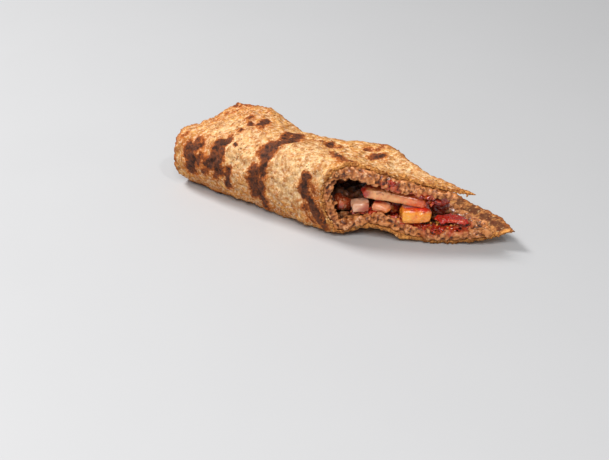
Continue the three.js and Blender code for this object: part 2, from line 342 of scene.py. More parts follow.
def set_relief_shading(mesh, rounds):
    """Stores how far each corner lies below its blurred surroundings, in millimetres, as a mask for painted
    shading.
    """
    pairs = np.empty(2 * len(mesh.edges), np.int32)
    mesh.edges.foreach_get("vertices", pairs)
    one, other = pairs.reshape(-1, 2).T
    places = corner_places(mesh)
    count = np.bincount(one, minlength=len(places)) + np.bincount(other, minlength=len(places))
    blurred = places
    for _ in range(rounds):
        nearby = [
            np.bincount(one, blurred[other, axis], len(places))
            + np.bincount(other, blurred[one, axis], len(places))
            for axis in range(3)
        ]
        blurred = 0.3 * blurred + 0.7 * np.stack(nearby, 1) / np.maximum(count, 1)[:, None]
    set_attribute(mesh, "hollow", ((blurred - places) * corner_normals(mesh)).sum(axis=1))


def add_piece(name, mesh, finish, slot, *nodes):
    """Shows a mesh as a piece that rides on the sandwich, in that finish. The slot is not used."""
    mesh.materials.clear()
    mesh.materials.append(finish)
    mesh.shade_smooth()
    piece = bpy.data.objects.new(name, mesh)
    bpy.context.scene.collection.objects.link(piece)
    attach(piece, "root")
    if nodes:
        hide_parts(*nodes)


def bent_slab(around_cells, along_cells, layers, bend):
    """A slab of small cells, bent by a function that gets each corner's place in the flat slab."""
    slab = bmesh.new()
    bmesh.ops.create_grid(slab, x_segments=around_cells, y_segments=along_cells, size=0.5)
    bmesh.ops.translate(slab, verts=slab.verts, vec=(0.5, 0.5, 0))
    upper = slab.faces[:]
    for _ in range(layers):
        grown = bmesh.ops.extrude_face_region(slab, geom=upper)["geom"]
        upper = [part for part in grown if isinstance(part, bmesh.types.BMFace)]
        corners = [part for part in grown if isinstance(part, bmesh.types.BMVert)]
        bmesh.ops.translate(slab, verts=corners, vec=(0, 0, 1 / layers))
    flat = np.array([corner.co for corner in slab.verts])
    places = bend(flat[:, 0], flat[:, 1], flat[:, 2])
    for corner, place in zip(slab.verts, places * MM):
        corner.co = place
    bmesh.ops.recalc_face_normals(slab, faces=slab.faces)
    mesh = bpy.data.meshes.new("slab")
    slab.to_mesh(mesh)
    slab.free()
    return mesh, flat


AROUND_CELLS = 290
ALONG_CELLS = 155
BREAD_LAYERS = 3
CUT_CROWDING = 1.3  # how much closer the rows stand towards the cut
BLISTER = 0.4

# Marks of the griddle on the outside: how far they reach on each side, with their toasted fringe,
# how dark they are, and the line they follow from (around, along) to (around, along).
MARKS = [
    (4.4, 1.0, [(0.362, 0.12), (0.39, 0.122), (0.418, 0.118)]),
    (5.0, 0.95, [(0.42, 0.1), (0.44, 0.08), (0.47, 0.07), (0.495, 0.065)]),
    (6.0, 0.52, [(0.445, 0.12), (0.49, 0.12)]),
    (5.0, 0.72, [(0.505, 0.03), (0.515, 0.06)]),
    (6.0, 0.52, [(0.45, 0.03), (0.5, 0.02)]),
    (5.0, 0.42, [(0.4, 0.06), (0.44, 0.03)]),
    (5.0, 0.62, [(0.247, 0.2), (0.262, 0.14), (0.275, 0.1), (0.29, 0.05)]),
    (3.8, 0.88, [(0.262, 0.14), (0.27, 0.115)]),
    (4.4, 0.95, [(0.072, 0.262), (0.09, 0.258), (0.112, 0.25)]),
    (4.0, 1.05, [(0.1, 0.262)]),
    (3.0, 0.62, [(0.055, 0.315), (0.08, 0.325)]),
    (2.5, 0.5, [(0.085, 0.22), (0.085, 0.24)]),
    (3.0, 0.62, [(0.005, 0.34), (0.03, 0.325)]),
    (4.0, 1.0, [(0.13, 0.395), (0.145, 0.385), (0.158, 0.375)]),
    (2.5, 0.6, [(0.13, 0.36), (0.15, 0.35)]),
    (3.0, 0.7, [(0.13, 0.42), (0.14, 0.435)]),
    (5.0, 0.9, [(0.13, 0.49), (0.15, 0.475), (0.18, 0.455), (0.21, 0.44), (0.25, 0.432)]),
    (5.0, 0.9, [(0.25, 0.432), (0.275, 0.43)]),
    (2.4, 1.0, [(0.19, 0.45), (0.215, 0.44)]),
    (4.0, 0.9, [(0.135, 0.505), (0.165, 0.505), (0.195, 0.485), (0.215, 0.475)]),
    (8.0, 1.0, [(0.285, 0.435), (0.31, 0.43), (0.325, 0.425)]),
    (4.2, 0.9, [(0.335, 0.405), (0.35, 0.39), (0.37, 0.382)]),
    (4.6, 0.9, [(0.37, 0.385), (0.4, 0.378), (0.44, 0.39), (0.47, 0.39)]),
    (7.0, 1.0, [(0.395, 0.42), (0.42, 0.425), (0.45, 0.43)]),
    (4.4, 0.9, [(0.455, 0.41), (0.475, 0.45)]),
    (4.5, 0.7, [(0.48, 0.4), (0.505, 0.4), (0.53, 0.41)]),
    (4.6, 0.95, [(0.135, 0.655), (0.15, 0.648), (0.175, 0.632)]),
    (5.0, 0.42, [(0.16, 0.62), (0.195, 0.605)]),
    (2.8, 0.95, [(0.19, 0.678), (0.203, 0.67)]),
    (5.0, 0.5, [(0.15, 0.735), (0.17, 0.725)]),
    (2.8, 0.55, [(0.25, 0.66), (0.263, 0.66)]),
    (3.0, 0.6, [(0.295, 0.665), (0.305, 0.66)]),
    (4.2, 0.95, [(0.312, 0.66), (0.325, 0.67), (0.342, 0.69)]),
    (2.4, 0.7, [(0.315, 0.615), (0.318, 0.6)]),
    (6.5, 1.0, [(0.365, 0.685), (0.385, 0.675), (0.405, 0.665)]),
    (6.0, 1.05, [(0.385, 0.69), (0.4, 0.71), (0.42, 0.72)]),
    (5.0, 0.95, [(0.41, 0.65), (0.425, 0.645)]),
    (3.8, 0.9, [(0.4, 0.6), (0.425, 0.602), (0.45, 0.607), (0.472, 0.612)]),
    (3.5, 0.55, [(0.405, 0.575), (0.415, 0.59)]),
    (4.0, 0.7, [(0.43, 0.66), (0.45, 0.67), (0.462, 0.685)]),
    (6.0, 0.5, [(0.44, 0.73), (0.47, 0.76)]),
    (5.0, 0.45, [(0.4, 0.76), (0.41, 0.78)]),
    (5.0, 1.1, [(0.395, 0.835), (0.405, 0.84)]),
    (6.4, 0.9, [(0.42, 0.835), (0.45, 0.84), (0.475, 0.85)]),
    (5.0, 0.9, [(0.4, 0.875), (0.43, 0.88)]),
    (5.0, 0.55, [(0.375, 0.8), (0.36, 0.84)]),
    (3.4, 0.7, [(0.37, 0.93), (0.38, 0.94)]),
    (5.0, 0.6, [(0.41, 0.79), (0.44, 0.8)]),
    (4.0, 0.5, [(0.485, 0.86), (0.5, 0.87)]),
    (3.5, 0.7, [(0.405, 0.975), (0.425, 0.985)]),
    (3.5, 0.7, [(0.47, 0.98), (0.5, 0.985)]),
    (5.0, 0.45, [(0.21, 0.9), (0.23, 0.895)]),
    (4.0, 0.45, [(0.07, 0.895), (0.09, 0.905)]),
    (5.0, 0.6, [(0.0, 0.85), (0.02, 0.92)]),
    (4.5, 0.6, [(0.03, 0.95), (0.05, 0.97)]),
    (4.0, 0.45, [(0.12, 0.93), (0.18, 0.94)]),
]

# Where the outside stayed floury and pale: how far that reaches, how strong it is, and its line
FLOURY = [
    (24, 1.0, [(0.35, 0.17), (0.4, 0.2)]),
    (18, 0.9, [(0.36, 0.27), (0.38, 0.33)]),
    (16, 1.0, [(0.26, 0.57), (0.32, 0.6)]),
    (13, 0.9, [(0.3, 0.54), (0.41, 0.5)]),
    (14, 0.8, [(0.25, 0.74), (0.33, 0.75)]),
    (16, 0.5, [(0.06, 0.12), (0.1, 0.17)]),
    (14, 0.6, [(0.3, 0.25), (0.27, 0.34)]),
]

# Where it baked golden to brown, given in the same way
GOLDEN = [
    (14, 0.8, [(0.0, 0.03), (0.2, 0.03)]),
    (20, 0.7, [(0.1, 0.75), (0.2, 0.6)]),
    (18, 0.8, [(0.02, 0.85), (0.25, 0.93)]),
    (14, 0.9, [(0.48, 0.22), (0.5, 0.34)]),
    (20, 0.9, [(0.38, 0.78), (0.49, 0.8)]),
    (16, 0.7, [(0.39, 0.9), (0.5, 0.95)]),
    (14, 0.7, [(0.45, 0.5), (0.5, 0.56)]),
    (10, 0.6, [(0.21, 0.42), (0.24, 0.34)]),
    (8, 0.6, [(0.4, 0.34), (0.46, 0.34)]),
    (13, 1.0, [(0.525, 0.3), (0.54, 0.6), (0.54, 0.9)]),
    (10, 0.9, [(0.44, 0.02), (0.5, 0.12)]),
    (30, 0.6, [(0.62, 0.1), (0.75, 0.5), (0.62, 0.9)]),
]


def line_field(places, lines, lift):
    """How near each place is to the nearest line of a list: 1 on it, 0 from its reach on."""
    field = np.zeros(len(places))
    for reach, strength, line in lines:
        around, along = np.array(line).T
        knots = sheet_point(around, along) + sheet_normal(around, along) * lift
        knots = np.repeat(knots, 2, axis=0) if len(knots) == 1 else knots
        nearest = np.full(len(places), 1e9)
        for start, end in zip(knots[:-1], knots[1:]):
            run = end - start
            share = np.clip((places - start) @ run / max(run @ run, 1e-9), 0, 1)
            off = np.linalg.norm(places - start - share[:, None] * run, axis=1)
            nearest = np.minimum(nearest, off)
        field = np.maximum(field, strength * np.clip(1 - nearest / reach, 0, 1))
    return field


# More marks of the same kind are scattered at random: from UNDERSIDE round to the bottom rim, and at
# the back end beside the top rim.
HIDDEN_MARKS = 75
TOP_RIM_SIDE = 0.16
UNDERSIDE = 0.56
BACK_END = 0.95
scatter = random.Random(5)
hidden_marks = []
while len(hidden_marks) < HIDDEN_MARKS:
    around, along = scatter.random(), scatter.random()
    if TOP_RIM_SIDE < around < UNDERSIDE or (around <= TOP_RIM_SIDE and along < BACK_END):
        continue
    turn = scatter.uniform(-1, 1)
    length = scatter.uniform(0.01, 0.06)
    end = (min(max(around + length * turn, 0), 1), min(along + length * (1 - abs(turn)), 1))
    hidden_marks.append((scatter.uniform(3, 7), scatter.uniform(0.5, 1.05), [(around, along), end]))


def bread_relief(places, around, along):
    """How far the baked side stands out: blisters, wrinkles along the roll and fine unevenness."""
    slow = BLISTER * waves(31 * around, 23 * along, 3)
    bumps = 0.8 * clouds(places, 7, 1) + 0.8 * clouds(places, 3.4, 2) + 0.6 * clouds(places, 1.8, 3)
    girth = np.interp(along, STATIONS, GIRTHS)
    flat = np.stack([around * girth / 1.6, along * ROLL_LENGTH / 7, 0 * around], 1)
    folds = -0.34 * np.abs(clouds(flat, 1, 4))
    return slow + bumps + folds


def edge_distances(around, along):
    """How far a place on the sheet is from the cut, and from the nearest of the other three edges."""
    girth = np.interp(along, STATIONS, GIRTHS)
    to_rim = np.minimum(np.minimum(around, 1 - around) * girth, (1 - along) * ROLL_LENGTH)
    return along * ROLL_LENGTH, to_rim


def bend_bread(around, along, depth):
    """The flat slab's corners on the folded bread, thinner and frayed at its edges."""
    along = along**CUT_CROWDING
    girth = np.interp(along, STATIONS, GIRTHS)
    to_cut, to_rim = edge_distances(around, along)
    fray = clouds(np.stack([around * girth, 1.3 * depth, 0 * depth], 1), 2.4, 15)
    fray += 0.5 * clouds(np.stack([around * girth, 2 * depth, 0 * depth], 1), 0.9, 16)
    around, along = ragged_place(around, along)
    line = sheet_point(around, along)
    normal = sheet_normal(around, along)
    edge = np.clip(1 - np.minimum(to_cut / 0.9, to_rim / 1.8), 0, 1)
    thin = 1 - 0.5 * edge**2
    depth = 0.5 + (depth - 0.5) * thin
    thick = BREAD + bread_relief(line, around, along) * (1 - 0.5 * edge)
    inner = SPREAD_IN + SPREAD_IN_AT_CUT * np.clip(1 - to_cut / 6, 0, 1) + 0.3 * clouds(line, 3, 6)
    places = line + normal * (depth * thick + inner * (1 - depth))[:, None]
    crumble = np.clip(1 - np.minimum(to_cut, to_rim) / 2.2, 0, 1)
    for axis in range(3):
        bits = 0.7 * clouds(places, 2.1, 7 + axis) + 0.5 * clouds(places, 0.9, 11 + axis)
        places[:, axis] += crumble * bits
    places += heading(ROLL_HEADING) * (1.1 * fray * np.clip(1 - to_cut / 3, 0, 1))[:, None]
    low = 0.02 + 0.02 * clouds(places, 3, 5)
    places[:, 2] = np.where(places[:, 2] < REST_SNAP, low, places[:, 2])
    return places - MIDDLE


CUT_FRINGE = 2.4  # how far the crumb's colour reaches from the cut
RIM_FRINGE = 5.0  # and the browning from the other edges
bread_mesh, bread_flat = bent_slab(AROUND_CELLS, ALONG_CELLS, BREAD_LAYERS, bend_bread)
bread_places = corner_places(bread_mesh) + MIDDLE
outside = bread_flat[:, 2]
to_cut, to_rim = edge_distances(bread_flat[:, 0], bread_flat[:, 1] ** CUT_CROWDING)
set_attribute(bread_mesh, "char", line_field(bread_places, MARKS + hidden_marks, BREAD) * outside)
set_attribute(bread_mesh, "flour", line_field(bread_places, FLOURY, BREAD) * outside)
set_attribute(bread_mesh, "gold", line_field(bread_places, GOLDEN, BREAD) * outside)
set_attribute(bread_mesh, "outside", outside)
set_attribute(bread_mesh, "cut", np.clip(1 - to_cut / CUT_FRINGE, 0, 1))
set_attribute(bread_mesh, "rim", np.clip(1 - to_rim / RIM_FRINGE, 0, 1))
set_relief_shading(bread_mesh, 8)

bread_finish, sums = new_finish("bread_finish", Specular_IOR_Level=0.25)
char = sums.attribute("char")
outside = sums.attribute("outside")
hollow = sums.attribute("hollow")
fine = sums.grain(1.1, 4, 0.65)
stucco = sums.grain(2.6, 5, 0.66, seed=37)
patchy = sums.grain(5, 4, 0.6, seed=3)
broad = sums.grain(16, 3, seed=8)
pale = (sums.attribute("flour") * 0.8 + (patchy - 0.5) * 1.5 + (broad - 0.5) * 0.8).between(0.0, 0.6)
gold = sums.attribute("gold")
golden = (gold * 0.75 + (patchy - 0.5) * 1.7 + (broad - 0.5) * 1.2).between(0.1, 0.75)
crust = stucco.between(0.34, 0.62).blend(tone("b66c2a"), tone("e4a95f"))
crust = (pale * stucco.between(0.3, 0.6) * 0.8).blend(crust, tone("eec690"))
crust = (golden * 0.8).blend(crust, stucco.between(0.35, 0.62).blend(tone("a9591f"), tone("de9843")))
mottle = (sums.grain(3.2, 4, 0.65, seed=41) + gold * 0.1).between(0.52, 0.66)
crust = (mottle * 0.6).blend(crust, tone("bd6829"))
# Painted shade in the hollows of the relief, and a painted highlight on its crests
crust = (hollow.between(0.02, 0.3) * 0.5).blend(crust, tone("9a5722"))
crust = ((0.0 - hollow).between(0.03, 0.25) * 0.4).blend(crust, tone("ffe6bd"))
crust = (fine.between(0.52, 0.68) * 0.4).blend(crust, tone("955a25"))
crust = (fine.between(0.5, 0.36) * 0.4).blend(crust, tone("ffeac8"))
spread = (sums.grain(5.5, 6, 0.72, seed=5) - 0.5) * 2.0 + (fine - 0.5) * 0.6
ragged = char + spread * char.between(0.02, 0.3)
crust = (ragged.between(0.06, 0.42) * 0.9).blend(crust, tone("c46c2a"))
crust = (ragged.between(0.24, 0.48) * 0.92).blend(crust, tone("8c4317"))
scorched = stucco.between(0.36, 0.62).blend(tone("26140c"), tone("623520"))
islands = sums.grain(2.4, 4, 0.65, seed=43).between(0.5, 0.62)
crust = (ragged.between(0.42, 0.64) * (0.97 - 0.6 * islands)).blend(crust, scorched)
freckles = (sums.grain(0.9, 3, 0.7, seed=11) + (broad - 0.5) * 0.4).between(0.62, 0.7)
crust = (freckles * 0.6).blend(crust, tone("9a5318"))
pores = sums.grain(0.9, 1, 0.5, seed=17).between(0.67, 0.71) * sums.grain(9, 2, seed=19).between(0.48, 0.56)
crust = (pores * 0.95).blend(crust, tone("331a0c"))
inside = stucco.between(0.38, 0.6).blend(tone("7d4222"), tone("c8884c"))
inside = (sums.grain(5, 5, 0.6, seed=23).between(0.46, 0.54) * 0.85).blend(inside, tone("562a18"))
inside = (sums.grain(1.8, 3, seed=27).between(0.6, 0.68) * 0.7).blend(inside, tone("e6b983"))
crumb = (fine * 0.6 + stucco * 0.4).between(0.4, 0.6).blend(tone("8f4c1e"), tone("e6a055"))
# Painted shade in the hollows of the crumbly cut edge
crumb = (hollow.between(0.1, 0.5) * 0.5).blend(crumb, tone("6b3210"))
edges = (sums.attribute("cut") + (stucco - 0.5) * 0.9).between(0.35, 0.7)
bread_tone = outside.between(0.3, 0.8).blend(inside, crust)
browned_rim = (sums.attribute("rim") * 0.9 + (patchy - 0.5) * 1.1).between(0.4, 0.9)
bread_tone = (browned_rim * 0.75).blend(bread_tone, tone("a85f28"))
bread_tone = edges.blend(bread_tone, crumb)
relief = stucco * 0.9 + fine * 0.35 + sums.grain(0.5, 2, seed=29) * 0.2 - pores * 0.6 - freckles * 0.12
bump = sums.node("Bump", None, {"Strength": 1.0, "Distance": 0.8 * MM, "Height": relief})
feed(bread_finish, Base_Color=bread_tone, Normal=bump, Roughness=0.88 - 0.2 * ragged.between(0.4, 0.6))

add_piece("bread", bread_mesh, bread_finish, "bread", "flatbread")


# The meat, a moist spread of spiced mince that was cooked onto the bread. It's a crumbly mass of
# nodules that cling together in clumps. The cut shows it, so it is made finer there.
MEAT = 3.8  # how thick the spread is
PRESSED = 1.0  # how far its back lies outside the sheet's line, where it meets the bread
MEAT_FROM = 2 / 36
MEAT_TO = 1 - 2 / 36
MEAT_END = 1 - 1 / 24
MEAT_CRAGS = 0.9
SLAB_SHARE = 0.45  # of its depth, a plain slab under the clumps
HANGING = 0.35  # how much thicker it hangs from the top sheet at the cut
BARE_FROM = 0.89  # from here round to the bottom rim most clumps are left out, except near the cut
BARE_BEHIND = 0.03
BARE_SHARE = 0.85


def meat_depth(around, along):
    """How far the meat's surface stands in from the bread."""
    rim = np.minimum(np.minimum((around - 0.03) / 0.16, (1 - around) / 0.12), (1 - along) / 0.08)
    lumps = MEAT_CRAGS * 0.8 * waves(37 * around, 26 * along, 7)
    uneven = 1 + 0.35 * waves(95 * around, 40 * along, 5)
    hanging = uneven + HANGING * np.clip((0.4 - around) / 0.08, 0, 1) * np.clip(1 - along / 0.15, 0, 1)
    return (MEAT + lumps) * (0.3 + 0.7 * np.clip(rim, 0, 1)) * hanging


def joined_copies(base, transforms):
    """The base mesh's corners and faces, repeated once for each 4x4 transform, in numpy."""
    corners = np.array([corner.co for corner in base.verts])
    faces = np.array([[corner.index for corner in face.verts] for face in base.faces])
    every = np.concatenate([corners @ each[:3, :3].T + each[:3, 3] for each in transforms])
    steps = np.arange(len(transforms))[:, None, None] * len(corners)
    return every, (faces[None] + steps).reshape(-1, faces.shape[1])


def lumps_at(centres, radii, draw, divisions=2, flat=0.6, long=1.25):
    """Balls squashed and turned each in its own way, as corners and faces."""
    ball = bmesh.new()
    bmesh.ops.create_icosphere(ball, subdivisions=divisions, radius=1)
    ball.verts.ensure_lookup_table()
    shapes = []
    for centre, radius in zip(centres, radii):
        axis = Vector((draw.uniform(-1, 1), draw.uniform(-1, 1), draw.uniform(-1, 1))).normalized()
        turn = np.array(Matrix.Rotation(draw.uniform(0, 2 * np.pi), 3, axis))
        transform = np.eye(4)
        transform[:3, :3] = turn @ np.diag([radius * draw.uniform(flat, long) for _ in range(3)])
        transform[:3, 3] = centre
        shapes.append(transform)
    corners, faces = joined_copies(ball, shapes)
    ball.free()
    return corners, faces


def fused_mesh(name, parts, voxel, rounds):
    """Overlapping closed shapes melted into one skin, its surface smoothed a few times."""
    corners = np.concatenate([part[0] for part in parts])
    faces = []
    base = 0
    for part_corners, part_faces in parts:
        faces += [[index + base for index in face] for face in part_faces]
        base += len(part_corners)
    mass = bpy.data.meshes.new("mass")
    mass.from_pydata([tuple(place) for place in (corners - MIDDLE) * MM], [], faces)
    mass_object = bpy.data.objects.new("mass", mass)
    bpy.context.scene.collection.objects.link(mass_object)
    fused = mass_object.modifiers.new("fused", "REMESH")
    fused.mode = "VOXEL"
    fused.voxel_size = voxel * MM
    soften = mass_object.modifiers.new("soften", "SMOOTH")
    soften.iterations = rounds
    ready = mass_object.evaluated_get(bpy.context.evaluated_depsgraph_get())
    mesh = bpy.data.meshes.new_from_object(ready)
    mesh.name = name
    bpy.data.objects.remove(mass_object)
    bpy.data.meshes.remove(mass)
    return mesh


LOWEST = 0.05  # above the table, for what is roughened or loose


def roughen(mesh, *layers):
    """Moves each corner in or out along its normal by layers of noise: (size, height, seed)."""
    places = corner_places(mesh)
    normals = corner_normals(mesh)
    for size, height, seed in layers:
        places += normals * (height * clouds(places, size, seed))[:, None]
    places[:, 2] = np.maximum(places[:, 2], LOWEST)
    mesh.vertices.foreach_set("co", (places * MM).astype(np.float32).ravel())
    mesh.update()


# Where sauce and tomato juice soaked the meat: how far, how strongly, and (around, along) places
SAUCY = [
    (9, 1.0, [(0.78, 0.03), (0.83, 0.03), (0.88, 0.03)]),
    (6, 0.9, [(0.7, 0.02), (0.74, 0.03)]),
    (6, 0.8, [(0.62, 0.06), (0.66, 0.05)]),
    (5, 0.9, [(0.205, 0.0), (0.235, 0.02)]),
    (5, 0.8, [(0.12, 0.0), (0.15, 0.02)]),
    (9, 0.8, [(0.8, 0.2), (0.86, 0.3)]),
]


# Painted shade: the mince is coloured darker deep in the fold, where shade falls: from DARK_FROM to
# DARK_TO behind the plane of the cut, and up to DARK_ACROSS along that plane from the fold's own start.
DARK_FROM = 3
DARK_TO = 50
DARK_ACROSS = 50
DARKENS_OVER = 6
LIGHTENS_OVER = 10


def painted_fold_shade(mesh):
    """The painted shade on the mince: 1 deep in the fold, and 0 at the cut, far behind it and far across.
    """
    places = corner_places(mesh) + MIDDLE
    behind = places @ heading(SECTIONS[0]["turn"] + 90)
    across = places @ heading(SECTIONS[0]["turn"])
    near = (behind - DARK_FROM) / DARKENS_OVER
    far = (DARK_TO - behind) / LIGHTENS_OVER
    side = (DARK_ACROSS - across) / LIGHTENS_OVER
    return np.clip(near, 0, 1) * np.clip(far, 0, 1) * np.clip(side, 0, 1)


def mince(name, start, end, clumps, at_cut, radii, voxel, cells):
    """Minced meat between two shares of the roll's length, with `at_cut` clumps on the knife's cut."""
    def bend(around, along, depth):
        around = MEAT_FROM + (MEAT_TO - MEAT_FROM) * around
        around, along = ragged_place(around, start + (end - start) * along)
        depth = meat_depth(around, along) * SLAB_SHARE * (1 - depth) - PRESSED * depth
        return sheet_point(around, along) - sheet_normal(around, along) * depth[:, None]

    slab, _ = bent_slab(cells[0], cells[1], 1, bend)
    slab_part = corner_places(slab), [list(face.vertices) for face in slab.polygons]
    bpy.data.meshes.remove(slab)
    draw = random.Random(12)
    spots = []
    for index in range(clumps + at_cut):
        around = draw.uniform(MEAT_FROM, MEAT_TO)
        along = draw.uniform(start - 0.004, start + 0.014) if index >= clumps else draw.uniform(start, end)
        share = draw.uniform(0.0, 0.85) if index >= clumps else draw.uniform(0.4, 0.75)
        if around > BARE_FROM and along > BARE_BEHIND and draw.random() < BARE_SHARE:
            continue
        for _ in range(draw.randint(2, 5)):
            spots.append((
                around + draw.gauss(0, 0.006),
                along + draw.gauss(0, 0.009),
                share + draw.gauss(0, 0.12),
                draw.uniform(*radii),
            ))
    around, along, share, radius = np.array(spots).T
    around = np.clip(around, MEAT_FROM, MEAT_TO)
    along = np.clip(along, start - 0.012 * (at_cut > 0), end)
    share = np.clip(share, 0, 0.9)
    within = np.clip(along, 0, 1) + knife_line(around)
    centres = sheet_point(around, within)
    centres -= sheet_normal(around, within) * (share * meat_depth(around, within))[:, None]
    centres += heading(ROLL_HEADING) * np.minimum(along, 0)[:, None] * ROLL_LENGTH
    corners, faces = lumps_at(centres, radius, draw, flat=0.5, long=1.3)
    corners += 0.45 * np.stack([clouds(corners, 1.3, seed) for seed in (41, 42, 43)], 1)
    mesh = fused_mesh(name, [slab_part, (corners, faces.tolist())], voxel, 1)
    roughen(mesh, (2.4, 0.5, 50), (1.3, 0.4, 51), (0.7, 0.2, 52))
    set_attribute(mesh, "sauce", line_field(corner_places(mesh) + MIDDLE, SAUCY, -MEAT))
    # The deep attribute holds painted shade: the mince is coloured darker deep in the fold
    set_attribute(mesh, "deep", painted_fold_shade(mesh))
    set_relief_shading(mesh, 24)
    return mesh


meat_finish, sums = new_finish(
    "meat_finish", Coat_Roughness=0.12, Specular_IOR_Level=0.35, Subsurface_Weight=0.06,
    Subsurface_Radius=(0.002, 0.001, 0.0006), Subsurface_Scale=1.0,
)
hollow = sums.attribute("hollow")
lean = sums.grain(3.4, 4, 0.62, seed=2)
fine = sums.grain(0.8, 3, 0.6, seed=4)
patchy = sums.grain(7, 3, seed=6)
meat_tone = (lean * 0.65 + fine * 0.35).between(0.38, 0.62).blend(tone("843f16"), tone("d08242"))
meat_tone = patchy.between(0.5, 0.66).blend(meat_tone, tone("a05422"))
# Painted highlight on the raised nodules of the mince
meat_tone = ((0.0 - hollow).between(0.0, 0.5) * 0.75).blend(meat_tone, tone("e69a5e"))
meat_tone = (sums.grain(1.8, 2, seed=9).between(0.6, 0.68) * 0.7).blend(meat_tone, tone("f4bf8c"))
meat_tone = (sums.grain(2.2, 2, seed=14).between(0.56, 0.66) * 0.75).blend(meat_tone, tone("6b3214"))
sauce = (sums.attribute("sauce") + (lean - 0.5) * 1.2).between(0.3, 0.75)
meat_tone = (sauce * 0.8).blend(meat_tone, tone("b83218"))
# Painted shade in the crevices between the nodules
meat_tone = (hollow.between(-0.05, 0.4) * 0.95).blend(meat_tone, tone("31120a"))
# Painted shade: the mince turns near black where it lies deep in the fold
meat_tone = (sums.attribute("deep") * 0.8).blend(meat_tone, tone("32140a"))
relief = fine * 0.6 + sums.grain(0.45, 2, seed=21) * 0.4 + lean * 0.5
bump = sums.node("Bump", None, {"Strength": 1.0, "Distance": 0.6 * MM, "Height": relief})
wet = patchy.between(0.4, 0.6)
feed(
    meat_finish, Base_Color=meat_tone, Normal=bump, Roughness=0.6 - 0.2 * lean - 0.15 * sauce,
    Coat_Weight=0.05 + 0.4 * wet + 0.25 * sauce,
)
meat_at_cut = mince("meat_at_cut", 0, 0.17, 330, 300, (0.8, 1.6), 0.46, (110, 12))
meat_inside = mince("meat_inside", 0.16, MEAT_END, 800, 0, (1.0, 2.1), 0.85, (90, 50))
add_piece("meat_at_cut", meat_at_cut, meat_finish, "meat", "meat_layer")
add_piece("meat_inside", meat_inside, meat_finish, "meat")


def pocket_places(at, across, height):
    """Places inside the fold: along the roll from the cut, across it from the heel, and up."""
    turns = np.interp(at, [cut["at"] for cut in SECTIONS], [cut["turn"] for cut in SECTIONS])
    across_ways = np.stack([np.cos(np.radians(turns)), np.sin(np.radians(turns)), 0 * turns], 1)
    places = at[:, None] * heading(ROLL_HEADING) + across[:, None] * across_ways
    places[:, 2] = height
    return places


# Loose mince between the pieces, deep inside. A lump whose middle would lie in the open side's gape
# near the cut is left out.
LOOSE = 520
GAPE_LOW = (19, -17, 15.5)
GAPE_HIGH = (48, 15, 28)
draw = random.Random(44)
loose = pocket_places(
    np.array([draw.uniform(15, 46) for _ in range(LOOSE)]),
    np.array([draw.uniform(6, 46) for _ in range(LOOSE)]),
    np.array([draw.uniform(7, 19) for _ in range(LOOSE)]),
)
in_gape = np.all((loose - MIDDLE > GAPE_LOW) & (loose - MIDDLE < GAPE_HIGH), axis=1)
loose = loose[~in_gape]
loose_radii = [draw.uniform(1.4, 2.8) for _ in loose]
corners, faces = lumps_at(loose, loose_radii, draw, flat=0.6, long=1.3)
loose_mesh = fused_mesh("meat_loose", [(corners, faces.tolist())], 0.8, 1)
roughen(loose_mesh, (2.4, 0.5, 50), (1.3, 0.4, 51))
set_attribute(loose_mesh, "sauce", np.full(len(loose_mesh.vertices), 0.45))
# The deep attribute holds painted shade for the loose mince deep in the fold
set_attribute(loose_mesh, "deep", painted_fold_shade(loose_mesh))
set_relief_shading(loose_mesh, 10)
add_piece("meat_loose", loose_mesh, meat_finish, "meat")


# The tomato and the onion, diced by hand and warm, so their edges are soft and wet. Each stands
# where its solid does, with a red skin on one side of a tomato's peach to orange flesh.
def filling_mesh(node, levels):
    """A node's solid with its doubles merged and its faces rounded off."""
    copy = bmesh.new()
    copy.from_mesh(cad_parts[node].data)
    bmesh.ops.remove_doubles(copy, verts=copy.verts, dist=1e-6)
    bmesh.ops.join_triangles(
        copy, faces=copy.faces, angle_face_threshold=radians(40), angle_shape_threshold=radians(40)
    )
    for _ in range(levels):
        bmesh.ops.subdivide_edges(copy, edges=copy.edges, cuts=1, use_grid_fill=True)
        bmesh.ops.smooth_vert(
            copy, verts=copy.verts, factor=0.22, use_axis_x=True, use_axis_y=True, use_axis_z=True
        )
    bmesh.ops.recalc_face_normals(copy, faces=copy.faces)
    mesh = bpy.data.meshes.new(node)
    copy.to_mesh(mesh)
    copy.free()
    return mesh


# A piece's flesh, then the layers over it: a colour, the side it lies on and how deep it goes
LOOKS = {
    "tomato_strip": ("faae70", [
        ("ffb880", (0, -1, -0.2), 0.8),
        ("e8702a", (0, -0.05, -1), 0.9),
        ("cc3018", (0, 0.05, 1), 0.8),
        ("a82012", (-1, 0, 0), 4.0),
        ("f0682a", (1, 0, 0), 11.0),
    ]),
    "tomato_chunk": ("ff9a2c", [
        ("ffae3c", (-0.3, -1, 0), 0.8),
        ("f8822a", (0, 0, -1), 1.6),
        ("dc2c14", (0.1, 0, 1), 1.5),
        ("e2401c", (1, 0.2, 0), 0.8),
    ]),
    "tomato_middle": ("f0a070", [("f0853a", (0.4, 0, -1), 2.0), ("c23018", (0, 0.1, 1), 0.7)]),
    # tomato_left lies in shade: its dark flesh and its darker underside layer are painted shade
    "tomato_left": ("8a3214", [("6e2410", (0, 0, -1), 3), ("b0602e", (0, -1, 0.5), 0.8)]),
    "tomato_pulp": ("9c1c12", [("e98f3c", (0.3, -1, 0.3), 0.5)]),
    "tomato_hanging": ("b83420", [("8c180c", (0, 0, -1), 2.0), ("d4684a", (0, -1, 0.3), 0.6)]),
    "tomato_lower": ("7e2616", [("a82616", (1, 0, 0.5), 1.5)]),
    "tomato_skin": ("bb1f0c", [("e04a1e", (0, -0.4, 1), 0.5)]),
}
SKIN = "b42c18"
FLESH = ["e2a283", "ea9448", "de8a5c"]

